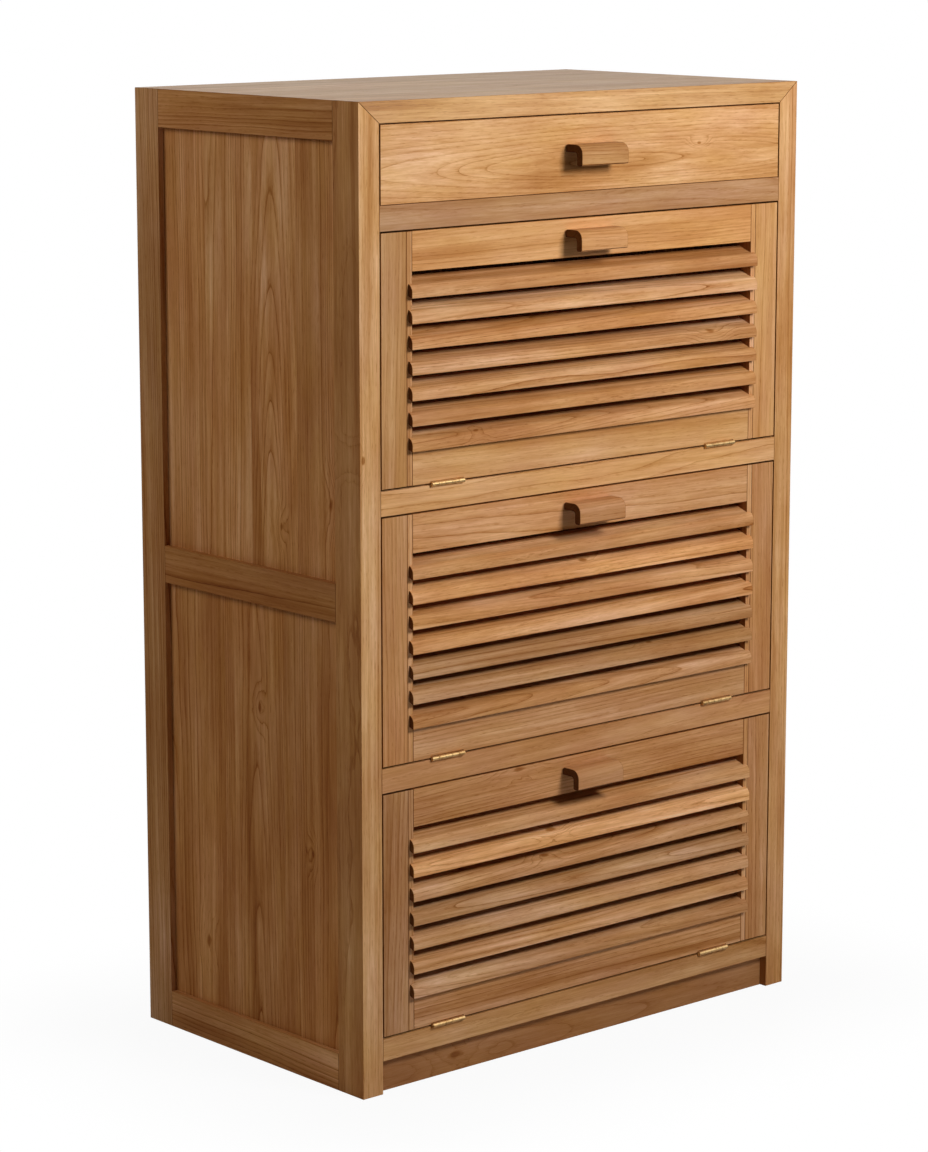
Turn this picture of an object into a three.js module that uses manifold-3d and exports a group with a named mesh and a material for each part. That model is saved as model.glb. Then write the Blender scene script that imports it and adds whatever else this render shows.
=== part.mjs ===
// Louvred cabinet: a drawer over three louvred flaps that are hinged along their bottom edges.
// Millimetres, +X to the right, the front faces -Y, +Z up, and the floor is z = 0.
import * as THREE from 'three';
import { mergeVertices } from 'three/addons/utils/BufferGeometryUtils.js';
import Module from 'manifold-3d';

const wasm = await Module();
wasm.setup();

// Cabinet
const cabinetWidth = 700;
const cabinetDepth = 415;
const cabinetHeight = 1150;
const glueLine = 0.3; // hairline between boards that are glued
const overrun = 5; // how far a cutter runs past what it cuts

// Side frames: two stiles, three rails and two loose panels each
const sideThickness = 30;
const sideStileWidth = 45;
const sideRailHeight = 45;
const middleRailRise = 581; // centre of the middle rail above the floor
const panelThickness = 12;
const panelRecess = 8; // outer face of a panel behind the face of its frame
const panelGroove = 8;

// Top, shelves, plinth and back
const topThickness = 25;
const mitreGap = 0.5;
const drawerOpening = 91;
const railThickness = 29; // front edge of a shelf between two doors
const baseRailThickness = 27; // front edge of the bottom shelf
const railDepth = 45;
const shelfThickness = 12; // the shelf behind its thick front edge
const beadDrop = 8; // stop bead under a shelf, behind the top of a door
const beadDepth = 12;
const kickHeight = 40;
const kickRecess = 10;
const kickThickness = 18;
const backThickness = 6;
const backInset = 4;

// Drawer
const drawerSideGap = 1.8;
const drawerTopGap = 1.5;
const drawerBottomGap = 0.5;
const drawerFrontThickness = 20;
const drawerRearSpace = 55; // from the back of the box to the back panel
const drawerBoxHeight = 70;
const drawerSideThickness = 12;
const drawerSideClearance = 3; // from the stiles that guide the box
const drawerBottomThickness = 5;
const drawerBottomRise = 8;
const drawerGroove = 6;

// Doors
const doorCount = 3;
const doorSideGap = 1.8;
const doorTopGap = 1.8;
const doorBottomGap = 2;
const doorThickness = 22;
const doorStileWidth = 37.5;
const stripWidth = 8; // strip along each stile that holds the slat ends
const doorTopRailHeight = 45.5;
const doorBottomRailHeight = 40;
const beadGap = 0.5;
const openAngle = THREE.MathUtils.degToRad(75);

// Slats
const slatCount = 7;
const slatSlope = THREE.MathUtils.degToRad(21);
const slatThickness = 13;
const slatNose = 6.8; // how far the nose stands in front of the door
const slatReach = 20; // how far the slat goes back from the door's front
const slatNoseFace = 8.5; // flat height of the nose
const slatLap = 5.6; // length of slat over each strip
const slatDrop = 1; // lowest nose below the top of the bottom rail
const slatRound = 4; // steps of the rounded nose

// Handles: a hood that is open below and at both ends
const handleWidth = 75;
const handleHeight = 24.5;
const handleReach = 28;
const handleWall = 9;
const handleBackRadius = 3;
const handleFrontRadius = 10;
const handleLipRadius = 3;
const handleRound = 5;
const doorHandleDrop = 12; // from the top of a door to the top of its handle
const drawerHandleDrop = 60; // from the top of the cabinet to the top of its handle

// Hinges: a butt hinge with its pin fixed in the leaf on the shelf
const hingeLength = 50;
const hingeInset = 129; // from the side of the cabinet to the middle of a hinge
const knuckleCount = 5;
const knuckleRadius = 2.75;
const barrelProud = 4.6; // how far the barrel stands in front of the door
const pinRadius = 1.2;
const pinHead = 0.6;
const runningGap = 0.3; // clearance round the pin and between knuckles
const leafThickness = 1;
const leafGap = 0.3; // between the two leaves of a closed hinge
const leafDepth = 18;
const hingeSides = 16;

// Stays: an arc on the back of each door, with a hook that stops behind the bead above
const stayInset = 49; // from the side of the cabinet to the middle of the arm
const stayThickness = 3;
const stayDrop = 34.5; // from the top of a door to the middle of the arm
const stayWidth = 12;
const stayHookBite = 5; // how far the hook passes the corner of the bead
const stayHookWidth = 6;
const stayFootWidth = 16;
const stayFootHeight = 34;
const stayFootThickness = 2.5;
const staySlack = THREE.MathUtils.degToRad(0.3);
const stayRound = 24;

// Places that the pieces share
const halfWidth = cabinetWidth / 2;
const frontY = (handleReach - cabinetDepth) / 2;
const backY = frontY + cabinetDepth;
const innerX = halfWidth - sideThickness;
const boardX = innerX - glueLine;
const backPanelFront = backY - backInset - backThickness;
const drawerFloor = cabinetHeight - topThickness - drawerOpening;
const doorsHeight = drawerFloor - railThickness - kickHeight - baseRailThickness;
const doorOpening = (doorsHeight - (doorCount - 1) * railThickness) / doorCount;
const doorHeight = doorOpening - doorTopGap - doorBottomGap;
const doorHalf = innerX - doorSideGap;
const louvreHalf = doorHalf - doorStileWidth - stripWidth;
const doorBack = frontY + doorThickness;
const beadFront = doorBack + beadGap;
const beadBack = beadFront + beadDepth;
const slatPitch = (doorHeight - doorTopRailHeight - doorBottomRailHeight) / slatCount;
const hingeY = frontY - barrelProud + knuckleRadius;
const hingeCentres = [hingeInset - halfWidth, halfWidth - hingeInset];

const up = new THREE.Vector3(0, 0, 1);
const right = new THREE.Vector3(1, 0, 0);
const back = new THREE.Vector3(0, 1, 0);
const forward = new THREE.Vector3(0, -1, 0);

const teak = new THREE.MeshStandardMaterial({ color: 0xc8955c, roughness: 0.55, metalness: 0 });
const sideTeak = new THREE.MeshStandardMaterial({ color: 0xbd8a54, roughness: 0.58, metalness: 0 });
const slatTeak = new THREE.MeshStandardMaterial({ color: 0xcf9f68, roughness: 0.52, metalness: 0 });
const innerWood = new THREE.MeshStandardMaterial({ color: 0xb98d5e, roughness: 0.7, metalness: 0 });
const brass = new THREE.MeshStandardMaterial({ color: 0xd9b45f, roughness: 0.3, metalness: 1 });

const cabinet = new THREE.Group();

function place(name, geometry, material) {
  const mesh = new THREE.Mesh(geometry, material.clone());
  mesh.name = name;
  cabinet.add(mesh);
}

// Box from its lowest and highest x, y and z
function block([x0, x1], [y0, y1], [z0, z1]) {
  const geometry = new THREE.BoxGeometry(x1 - x0, y1 - y0, z1 - z0);
  return geometry.translate((x0 + x1) / 2, (y0 + y1) / 2, (z0 + z1) / 2);
}

function outline(points) {
  return new THREE.Shape(points.map(([u, v]) => new THREE.Vector2(u, v)));
}

function extrude(shape, length, curveSegments) {
  return new THREE.ExtrudeGeometry(shape, { depth: length, bevelEnabled: false, curveSegments });
}

// An outline drawn in y and z, run along x
function alongX(shape, [from, to], curveSegments) {
  const turn = new THREE.Matrix4().makeBasis(back, up, right);
  return extrude(shape, to - from, curveSegments).applyMatrix4(turn).translate(from, 0, 0);
}

// An outline drawn in x and z, run along y
function alongY(shape, [from, to]) {
  const turn = new THREE.Matrix4().makeBasis(right, up, forward);
  return extrude(shape, to - from).applyMatrix4(turn).translate(0, to, 0);
}

// An outline drawn in x and y, run along z
function alongZ(shape, [from, to]) {
  return extrude(shape, to - from).translate(0, 0, from);
}

function rodAlongX(radius, [from, to], y, z) {
  const rod = new THREE.CylinderGeometry(radius, radius, to - from, hingeSides);
  return rod.rotateZ(-Math.PI / 2).translate((from + to) / 2, y, z);
}

function solidOf(geometry) {
  const bare = geometry.clone();
  bare.deleteAttribute('normal');
  bare.deleteAttribute('uv');
  const merged = mergeVertices(bare);
  const triVerts = new Uint32Array(merged.index.array);
  const vertProperties = merged.attributes.position.array;
  return new wasm.Manifold(new wasm.Mesh({ numProp: 3, vertProperties, triVerts }));
}

function geometryOf(solid) {
  const { vertProperties, triVerts, numProp } = solid.getMesh();
  const geometry = new THREE.BufferGeometry();
  geometry.setAttribute('position', new THREE.BufferAttribute(vertProperties, numProp));
  geometry.setIndex(new THREE.BufferAttribute(triVerts, 1));
  geometry.computeVertexNormals();
  return geometry;
}

function join(...geometries) {
  return geometryOf(geometries.map(solidOf).reduce((whole, piece) => whole.add(piece)));
}

function cut(geometry, ...cutters) {
  return geometryOf(cutters.map(solidOf).reduce((rest, cutter) => rest.subtract(cutter), solidOf(geometry)));
}

function ordered(a, b) {
  return a < b ? [a, b] : [b, a];
}

// Side frames. side is -1 for the left one and 1 for the right one.
function sideFrame(side, label) {
  const outer = side * halfWidth;
  const inner = side * innerX;
  const grooveOuter = outer - side * (panelRecess - glueLine);
  const grooveInner = outer - side * (panelRecess + panelThickness + glueLine);
  const panelX = ordered(outer - side * panelRecess, outer - side * (panelRecess + panelThickness));
  const railY = [frontY + sideStileWidth + glueLine, backY - sideStileWidth - glueLine];
  const panelReach = panelGroove - glueLine;
  const panelY = [frontY + sideStileWidth - panelReach, backY - sideStileWidth + panelReach];

  // The top of the frame is mitred to meet the top board.
  const mitreSlope = topThickness / sideThickness;
  const mitre = alongY(outline([
    [outer + side * overrun, cabinetHeight + overrun * mitreSlope],
    [inner - side * overrun, cabinetHeight - topThickness - overrun * mitreSlope],
    [inner - side * overrun, cabinetHeight + overrun + overrun],
    [outer + side * overrun, cabinetHeight + overrun + overrun],
  ]), [frontY - overrun, backY + overrun]);

  // edge is the outer edge of the stile, and inwards points from it to the panel.
  function stile(edge, inwards) {
    const grooved = edge + inwards * sideStileWidth;
    const grooveFloor = grooved - inwards * panelGroove;
    const section = outline([
      [outer, edge], [outer, grooved], [grooveOuter, grooved], [grooveOuter, grooveFloor],
      [grooveInner, grooveFloor], [grooveInner, grooved], [inner, grooved], [inner, edge],
    ]);
    return cut(alongZ(section, [0, cabinetHeight + overrun]), mitre);
  }

  // A rail has a groove where it meets a panel, and tongues in the grooves of the stiles.
  function rail(bottom, top, grooveBelow, grooveAbove, tongueTop) {
    const cutters = [];
    const grooveX = ordered(grooveOuter, grooveInner);
    const grooveY = [railY[0] - overrun, railY[1] + overrun];
    if (grooveBelow) cutters.push(block(grooveX, grooveY, [bottom - overrun, bottom + panelGroove]));
    if (grooveAbove) cutters.push(block(grooveX, grooveY, [top - panelGroove, top + overrun]));
    const body = block(ordered(outer, inner), railY, [bottom, top]);
    const tongueZ = [grooveBelow ? bottom + panelGroove : bottom, tongueTop];
    return join(cut(body, mitre, ...cutters), block(panelX, panelY, tongueZ));
  }

  const topRailBottom = cabinetHeight - sideRailHeight;
  const middleRailBottom = middleRailRise - sideRailHeight / 2;
  const middleRailTop = middleRailRise + sideRailHeight / 2;
  place(`${label}_front_stile`, stile(frontY, 1), sideTeak);
  place(`${label}_back_stile`, stile(backY, -1), sideTeak);
  const topTongue = cabinetHeight - topThickness;
  place(`${label}_top_rail`, rail(topRailBottom, cabinetHeight + overrun, true, false, topTongue), sideTeak);
  const middleTongue = middleRailTop - panelGroove;
  place(`${label}_middle_rail`, rail(middleRailBottom, middleRailTop, true, true, middleTongue), sideTeak);
  const bottomTongue = sideRailHeight - panelGroove;
  place(`${label}_bottom_rail`, rail(0, sideRailHeight, false, true, bottomTongue), sideTeak);
  const upperZ = [middleRailTop - panelReach, topRailBottom + panelReach];
  place(`${label}_upper_panel`, block(panelX, panelY, upperZ), sideTeak);
  const lowerZ = [sideRailHeight - panelReach, middleRailBottom + panelReach];
  place(`${label}_lower_panel`, block(panelX, panelY, lowerZ), sideTeak);
}

function topBoard() {
  const top = halfWidth - mitreGap;
  const bottom = innerX - mitreGap;
  const underside = cabinetHeight - topThickness;
  return alongY(outline([
    [-bottom, underside], [bottom, underside], [top, cabinetHeight], [-top, cabinetHeight],
  ]), [frontY, backY]);
}

// Room for a leaf and for the knuckles, cut above or below the line of the pin
function hingeCutters(centre, pinZ, upwards) {
  const length = [centre - hingeLength / 2 - runningGap, centre + hingeLength / 2 + runningGap];
  const leafRoom = leafGap / 2 + leafThickness + glueLine;
  const knuckleRoom = knuckleRadius + runningGap;
  const leafY = [frontY - overrun, frontY + leafDepth + glueLine];
  const leafZ = ordered(pinZ, pinZ + upwards * leafRoom);
  const knuckleZ = ordered(pinZ, pinZ + upwards * knuckleRoom);
  return [block(length, leafY, leafZ), block(length, [frontY - overrun, hingeY + knuckleRoom], knuckleZ)];
}

// A shelf with a thick front edge. It has a bead where a door closes below it, and hinges where one
// stands on it.
function shelf(bottom, thickness, beaded, hinged) {
  const top = bottom + thickness;
  const railBack = frontY + railDepth;
  const shelfBack = backPanelFront - glueLine;
  const bead = [
    [beadFront, bottom], [beadFront, bottom - beadDrop], [beadBack, bottom - beadDrop], [beadBack, bottom],
  ];
  const section = outline([
    [frontY, top], [frontY, bottom], ...(beaded ? bead : []), [railBack, bottom],
    [railBack, top - shelfThickness], [shelfBack, top - shelfThickness], [shelfBack, top],
  ]);
  const board = alongX(section, [-boardX, boardX]);
  if (!hinged) return board;
  const pinZ = top + doorBottomGap / 2;
  return cut(board, ...hingeCutters(hingeCentres[0], pinZ, -1), ...hingeCutters(hingeCentres[1], pinZ, -1));
}

// The hood's outline goes round its top, its front plate and back along the finger gap.
function handle(top) {
  const seat = frontY - glueLine;
  const nose = frontY - handleReach;
  const plateBack = nose + handleWall;
  const topInside = top - handleWall;
  const tip = top - handleHeight;
  const hood = new THREE.Shape();
  hood.moveTo(seat, topInside);
  hood.lineTo(seat, top - handleBackRadius);
  hood.quadraticCurveTo(seat, top, seat - handleBackRadius, top);
  hood.lineTo(nose + handleFrontRadius, top);
  hood.quadraticCurveTo(nose, top, nose, top - handleFrontRadius);
  hood.lineTo(nose, tip + handleLipRadius);
  hood.quadraticCurveTo(nose, tip, nose + handleLipRadius, tip);
  hood.lineTo(plateBack - handleLipRadius, tip);
  hood.quadraticCurveTo(plateBack, tip, plateBack, tip + handleLipRadius);
  hood.lineTo(plateBack, topInside);
  return alongX(hood, [-handleWidth / 2, handleWidth / 2], handleRound);
}

function drawer() {
  const frontHalf = innerX - drawerSideGap;
  const frontZ = [drawerFloor + drawerBottomGap, drawerFloor + drawerOpening - drawerTopGap];
  const boxFront = frontY + drawerFrontThickness + glueLine;
  const boxBack = backPanelFront - drawerRearSpace;
  const boxZ = [drawerFloor + glueLine, drawerFloor + glueLine + drawerBoxHeight];
  const boxHalf = innerX - drawerSideClearance;
  const insideHalf = boxHalf - drawerSideThickness;
  const bottomZ = [boxZ[0] + drawerBottomRise, boxZ[0] + drawerBottomRise + drawerBottomThickness];
  const grooveZ = [bottomZ[0] - glueLine, bottomZ[1] + glueLine];
  const grooveHalf = insideHalf + drawerGroove;
  const grooveFront = boxFront - drawerGroove;
  const bottomReach = drawerGroove - glueLine;
  const backFront = boxBack - drawerSideThickness;
  const groove = block([-grooveHalf, grooveHalf], [grooveFront, boxBack + overrun], grooveZ);

  const front = block([-frontHalf, frontHalf], [frontY, boxFront - glueLine], frontZ);
  place('drawer_front', cut(front, groove), teak);
  for (const [side, label] of [[-1, 'left'], [1, 'right']]) {
    const board = block(ordered(side * insideHalf, side * boxHalf), [boxFront, boxBack], boxZ);
    place(`drawer_${label}_side`, cut(board, groove), innerWood);
  }
  const backHalf = insideHalf - glueLine;
  place('drawer_back', block([-backHalf, backHalf], [backFront, boxBack], [grooveZ[1], boxZ[1]]), innerWood);
  const bottomHalf = insideHalf + bottomReach;
  const bottomY = [boxFront - bottomReach, boxBack];
  place('drawer_bottom', block([-bottomHalf, bottomHalf], bottomY, bottomZ), innerWood);
  place('drawer_handle', handle(cabinetHeight - drawerHandleDrop), teak);
}

// One slat, with its nose bottom at the given height
function slat(noseBottom) {
  const rise = Math.tan(slatSlope);
  const upright = slatThickness / Math.cos(slatSlope);
  const nose = frontY - slatNose;
  const tail = frontY + slatReach;
  const tailRise = (tail - nose) * rise;
  const section = new THREE.Shape();
  section.moveTo(nose, noseBottom);
  section.lineTo(tail, noseBottom + tailRise);
  section.lineTo(tail, noseBottom + tailRise + upright);
  section.lineTo(frontY, noseBottom + upright + slatNose * rise);
  section.quadraticCurveTo(nose, noseBottom + upright, nose, noseBottom + slatNoseFace);
  const half = louvreHalf + slatLap;
  return alongX(section, [-half, half], slatRound);
}

function hinge(label, centre, pinZ) {
  const pitch = hingeLength / knuckleCount;
  const start = centre - hingeLength / 2;
  const knuckle = (index) => rodAlongX(knuckleRadius, [
    start + index * pitch + runningGap / 2, start + (index + 1) * pitch - runningGap / 2,
  ], hingeY, pinZ);
  const boreRadius = pinRadius + runningGap;
  const wallMiddle = (boreRadius + knuckleRadius) / 2;

  // The plate starts clear of the other leaf's knuckles and has a tab to each of its own.
  function leaf(upwards, own) {
    const z = ordered(pinZ + upwards * leafGap / 2, pinZ + upwards * (leafGap / 2 + leafThickness));
    const plateFront = hingeY + knuckleRadius + runningGap;
    const plate = block([start, start + hingeLength], [plateFront, frontY + leafDepth], z);
    const tabs = own.map((index) => block(
      [start + index * pitch + runningGap / 2, start + (index + 1) * pitch - runningGap / 2],
      [hingeY + wallMiddle, frontY + leafDepth], z,
    ));
    return join(plate, ...tabs, ...own.map(knuckle));
  }

  const indices = [...Array(knuckleCount).keys()];
  const pin = rodAlongX(pinRadius, [start - pinHead, start + hingeLength + pinHead], hingeY, pinZ);
  place(`${label}_shelf_leaf`, join(leaf(-1, indices.filter((index) => index % 2 === 0)), pin), brass);
  const boreX = [start - overrun, start + hingeLength + overrun];
  const bore = rodAlongX(boreRadius, boreX, hingeY, pinZ);
  place(`${label}_door_leaf`, cut(leaf(1, indices.filter((index) => index % 2 === 1)), bore), brass);
}

// The arm is an arc round the hinge pin, so it runs back into the cabinet as the door closes.
function stay(pinZ, doorTop) {
  const beadBottom = doorTop + doorTopGap - beadDrop - pinZ;
  const beadCorner = Math.hypot(beadBack - hingeY, beadBottom);
  const stopAngle = Math.atan2(beadBack - hingeY, beadBottom) + openAngle + staySlack;
  const stayRadius = doorTop - stayDrop - pinZ;
  const innerRadius = stayRadius - stayWidth / 2;
  const outerRadius = stayRadius + stayWidth / 2;
  const hookRadius = beadCorner + stayHookBite;
  const hookAngle = stayHookWidth / hookRadius;
  const footBack = doorBack + glueLine + stayFootThickness;
  const startAngle = Math.asin((footBack - stayFootThickness / 2 - hingeY) / innerRadius);

  // Angles are measured back from straight up, so a point is at its sine and cosine.
  const at = (radius, angle) => [hingeY + radius * Math.sin(angle), pinZ + radius * Math.cos(angle)];
  const arc = (radius, from, to) => [...Array(stayRound + 1).keys()].map(
    (step) => at(radius, from + (to - from) * step / stayRound));
  const endAngle = stopAngle + hookAngle;
  const arm = alongX(outline([
    ...arc(innerRadius, startAngle, endAngle),
    at(hookRadius, endAngle), at(hookRadius, stopAngle),
    ...arc(outerRadius, stopAngle, startAngle),
  ]), [-stayThickness / 2, stayThickness / 2]);
  const foot = block(
    [-stayFootWidth / 2, stayFootWidth / 2],
    [doorBack + glueLine, footBack],
    [pinZ + stayRadius - stayFootHeight / 2, pinZ + stayRadius + stayFootHeight / 2],
  );
  return join(arm, foot).translate(halfWidth - stayInset, 0, 0);
}

function door(index, openingBottom) {
  const label = `door_${index}`;
  const bottom = openingBottom + doorBottomGap;
  const top = bottom + doorHeight;
  const pinZ = openingBottom + doorBottomGap / 2;
  const depth = [frontY, doorBack];
  const stripOuter = doorHalf - doorStileWidth - glueLine;
  const railHalf = louvreHalf - glueLine;
  for (const [side, name] of [[-1, 'left'], [1, 'right']]) {
    const across = ordered(side * doorHalf, side * (doorHalf - doorStileWidth));
    place(`${label}_${name}_stile`, block(across, depth, [bottom, top]), teak);
  }
  const topRail = block([-railHalf, railHalf], depth, [top - doorTopRailHeight, top]);
  place(`${label}_top_rail`, topRail, teak);
  const bottomRail = block([-railHalf, railHalf], depth, [bottom, bottom + doorBottomRailHeight]);
  const mortises = hingeCentres.flatMap((centre) => hingeCutters(centre, pinZ, 1));
  place(`${label}_bottom_rail`, cut(bottomRail, ...mortises), teak);

  // The slats are housed in the two strips, which fit between the stiles and the rails.
  const strips = [-1, 1].map((side) => block(
    ordered(side * stripOuter, side * louvreHalf), depth, [bottom, top]));
  const lowest = bottom + doorBottomRailHeight - slatDrop;
  const slats = [...Array(slatCount).keys()].map((step) => slat(lowest + step * slatPitch));
  place(`${label}_louvres`, join(...strips, ...slats), slatTeak);
  place(`${label}_handle`, handle(top - doorHandleDrop), teak);
  hinge(`${label}_left_hinge`, hingeCentres[0], pinZ);
  hinge(`${label}_right_hinge`, hingeCentres[1], pinZ);
  place(`${label}_stay`, stay(pinZ, top), brass);
}

sideFrame(-1, 'left');
sideFrame(1, 'right');
place('top_board', topBoard(), teak);
place('drawer_shelf', shelf(drawerFloor - railThickness, railThickness, true, false), teak);
const bottomShelf = shelf(kickHeight, baseRailThickness, false, true);
place('bottom_shelf', bottomShelf, teak);
const kickY = [frontY + kickRecess, frontY + kickRecess + kickThickness];
place('kick_board', block([-boardX, boardX], kickY, [0, kickHeight - glueLine]), teak);
const backPanelY = [backPanelFront, backPanelFront + backThickness];
const backPanelZ = [0, cabinetHeight - topThickness - glueLine];
place('back_panel', block([-boardX, boardX], backPanelY, backPanelZ), innerWood);
drawer();
for (let index = 1; index <= doorCount; index += 1) {
  const openingTop = drawerFloor - railThickness - (index - 1) * (doorOpening + railThickness);
  const openingBottom = openingTop - doorOpening;
  door(index, openingBottom);
  if (index < doorCount) {
    place(`shelf_${index}`, shelf(openingBottom - railThickness, railThickness, true, true), teak);
  }
}

export default cabinet;
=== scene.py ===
"""Looks of a tall teak cabinet: one drawer over three louvred flaps.

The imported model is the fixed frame. Each board is a copy of its solid, with its
edges eased and the grain of its own log laid through it. Slats, handles, hinges
and screws are modelled here. Metres throughout: the front faces -Y and +Z is up.
"""

import functools
import logging
import math
import random
import zlib
from collections.abc import Callable, Sequence
from dataclasses import dataclass, field, replace
from enum import Enum
from typing import Any

import bmesh
import bpy
from mathutils import Matrix, Vector


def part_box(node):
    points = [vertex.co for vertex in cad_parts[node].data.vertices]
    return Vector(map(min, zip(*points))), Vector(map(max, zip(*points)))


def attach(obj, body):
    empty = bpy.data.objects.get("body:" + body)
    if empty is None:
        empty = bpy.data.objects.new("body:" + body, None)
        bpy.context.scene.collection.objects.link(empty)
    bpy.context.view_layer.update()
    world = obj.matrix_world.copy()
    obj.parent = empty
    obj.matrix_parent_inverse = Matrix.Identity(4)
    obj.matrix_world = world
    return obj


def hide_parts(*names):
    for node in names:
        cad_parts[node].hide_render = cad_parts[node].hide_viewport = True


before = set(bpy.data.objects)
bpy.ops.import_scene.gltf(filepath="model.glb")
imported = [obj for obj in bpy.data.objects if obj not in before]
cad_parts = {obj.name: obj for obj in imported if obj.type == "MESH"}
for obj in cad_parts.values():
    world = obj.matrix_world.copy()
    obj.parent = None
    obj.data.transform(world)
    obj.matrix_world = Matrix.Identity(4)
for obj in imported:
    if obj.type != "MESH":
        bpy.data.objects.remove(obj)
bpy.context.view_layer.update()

log = logging.getLogger("cabinet")

Colour = tuple[float, float, float, float]
Place = tuple[float, float, float]
Point = tuple[float, float]
Socket = bpy.types.NodeSocket
Edge = bmesh.types.BMEdge
Face = bmesh.types.BMFace

MM = 0.001
WHITE: Colour = (1.0, 1.0, 1.0, 1.0)

# Distance within which corners are the same one.
MERGE = 0.01 * MM
# Angles between faces: of one flat face, of a corner that is eased, and of one that stays sharp.
FLAT_ANGLE = math.radians(0.5)
EASED_ANGLE = math.radians(40)
SHARP_ANGLE = math.radians(38)
# How much of a face's normal lies in a direction that the face looks in.
FACING = 0.7
# How much of it, where a rounding belongs to that side too.
TURNING = 0.4


def srgb(red: float, green: float, blue: float) -> Colour:
    """Turns a colour as a screen shows it into the linear one that shaders use.

    Args:
        red: Red, 0 to 255.
        green: Green, 0 to 255.
        blue: Blue, 0 to 255.

    Returns:
        The linear colour, opaque.
    """
    linear = [
        value / 12.92 if value <= 0.04045 else ((value + 0.055) / 1.055) ** 2.4
        for value in (red / 255, green / 255, blue / 255)
    ]
    return (linear[0], linear[1], linear[2], 1.0)


def shifted(tone: Point, shift: Point) -> Point:
    """Adds a lightness and a depth to a tone."""
    return (tone[0] + shift[0], tone[1] + shift[1])


class Axis(Enum):
    """A direction of the cabinet that a board's grain or its face follows."""

    ACROSS = (1.0, 0.0, 0.0)
    DEEP = (0.0, 1.0, 0.0)
    UPRIGHT = (0.0, 0.0, 1.0)

    @property
    def vector(self) -> Vector:
        """The direction as a unit vector."""
        return Vector(self.value)


@dataclass(frozen=True)
class Pith:
    """Where the pith of a log lies from the middle of a board that was cut from it.

    Attributes:
        aside: How far it is to the side.
        below: How far it is below the board's face.
        lean_aside: How much the log leans across the board, per metre.
        lean_below: How much the log leans into the board, per metre.
        bow: How much it bows into the board, per metre squared.
    """

    aside: float
    below: float
    lean_aside: float = 0.0
    lean_below: float = 0.0
    bow: float = 0.0


class Sawing(Enum):
    """How a board was sawn, which gives flames, slanting lines or straight stripes.

    The four ranges are those of the pith's place and of the log's lean, to either side.
    """

    FLAT = ((0.0, 0.014), (0.022, 0.04), (0.0, 0.012), (0.03, 0.055))
    RIFT = ((0.035, 0.07), (0.03, 0.06), (0.004, 0.02), (0.004, 0.02))
    QUARTER = ((0.06, 0.11), (0.0, 0.015), (0.002, 0.01), (0.002, 0.01))

    def pith(self, dice: random.Random) -> Pith:
        """Draws a place for the pith."""
        return Pith(*(dice.choice((-1, 1)) * dice.uniform(*span) for span in self.value))


@dataclass(frozen=True)
class Knot:
    """A knot in the face of a board.

    Attributes:
        along: Its place along the grain from the board's middle.
        across: Its place across the board from its middle.
        radius: Radius of its dark core.
    """

    along: float
    across: float
    radius: float


@dataclass(frozen=True)
class Cut:
    """How a board was cut from its log, and how its wood looks.

    Attributes:
        grain: The direction of the fibres.
        face: The direction that the board's best face looks in.
        sawing: How each stave was sawn, of those that are glued up side by side.
        lightness: Lighter above 0, darker below it, as a share.
        depth: A deeper brown above 0, a paler honey below it.
        figure: Strength of the rings, streaks and fibres.
        flank: Lightness and depth that the faces at the board's two sides have besides; on the doors, their
            strips and the front stiles this is painted shade in the gaps.
        variation: How far each board or stave strays from that tone.
        knots: The knot in a stave, by the stave's index.
    """

    grain: Axis
    face: Axis
    sawing: tuple[Sawing | Pith, ...] = (Sawing.RIFT,)
    lightness: float = 0.0
    depth: float = 0.0
    figure: float = 1.0
    flank: Point = (0.0, 0.0)
    variation: float = 0.02
    knots: dict[int, Knot] = field(default_factory=dict)

    @classmethod
    def rail(cls, lightness: float = 0.0, depth: float = 0.0, figure: float = 1.0, **rest: Any) -> "Cut":
        """Cuts a board that lies across the front."""
        return cls(Axis.ACROSS, Axis.DEEP, lightness=lightness, depth=depth, figure=figure, **rest)

    @classmethod
    def stile(cls, lightness: float = 0.0, depth: float = 0.0, figure: float = 1.0, **rest: Any) -> "Cut":
        """Cuts a board that stands in the front."""
        return cls(Axis.UPRIGHT, Axis.DEEP, lightness=lightness, depth=depth, figure=figure, **rest)


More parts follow.
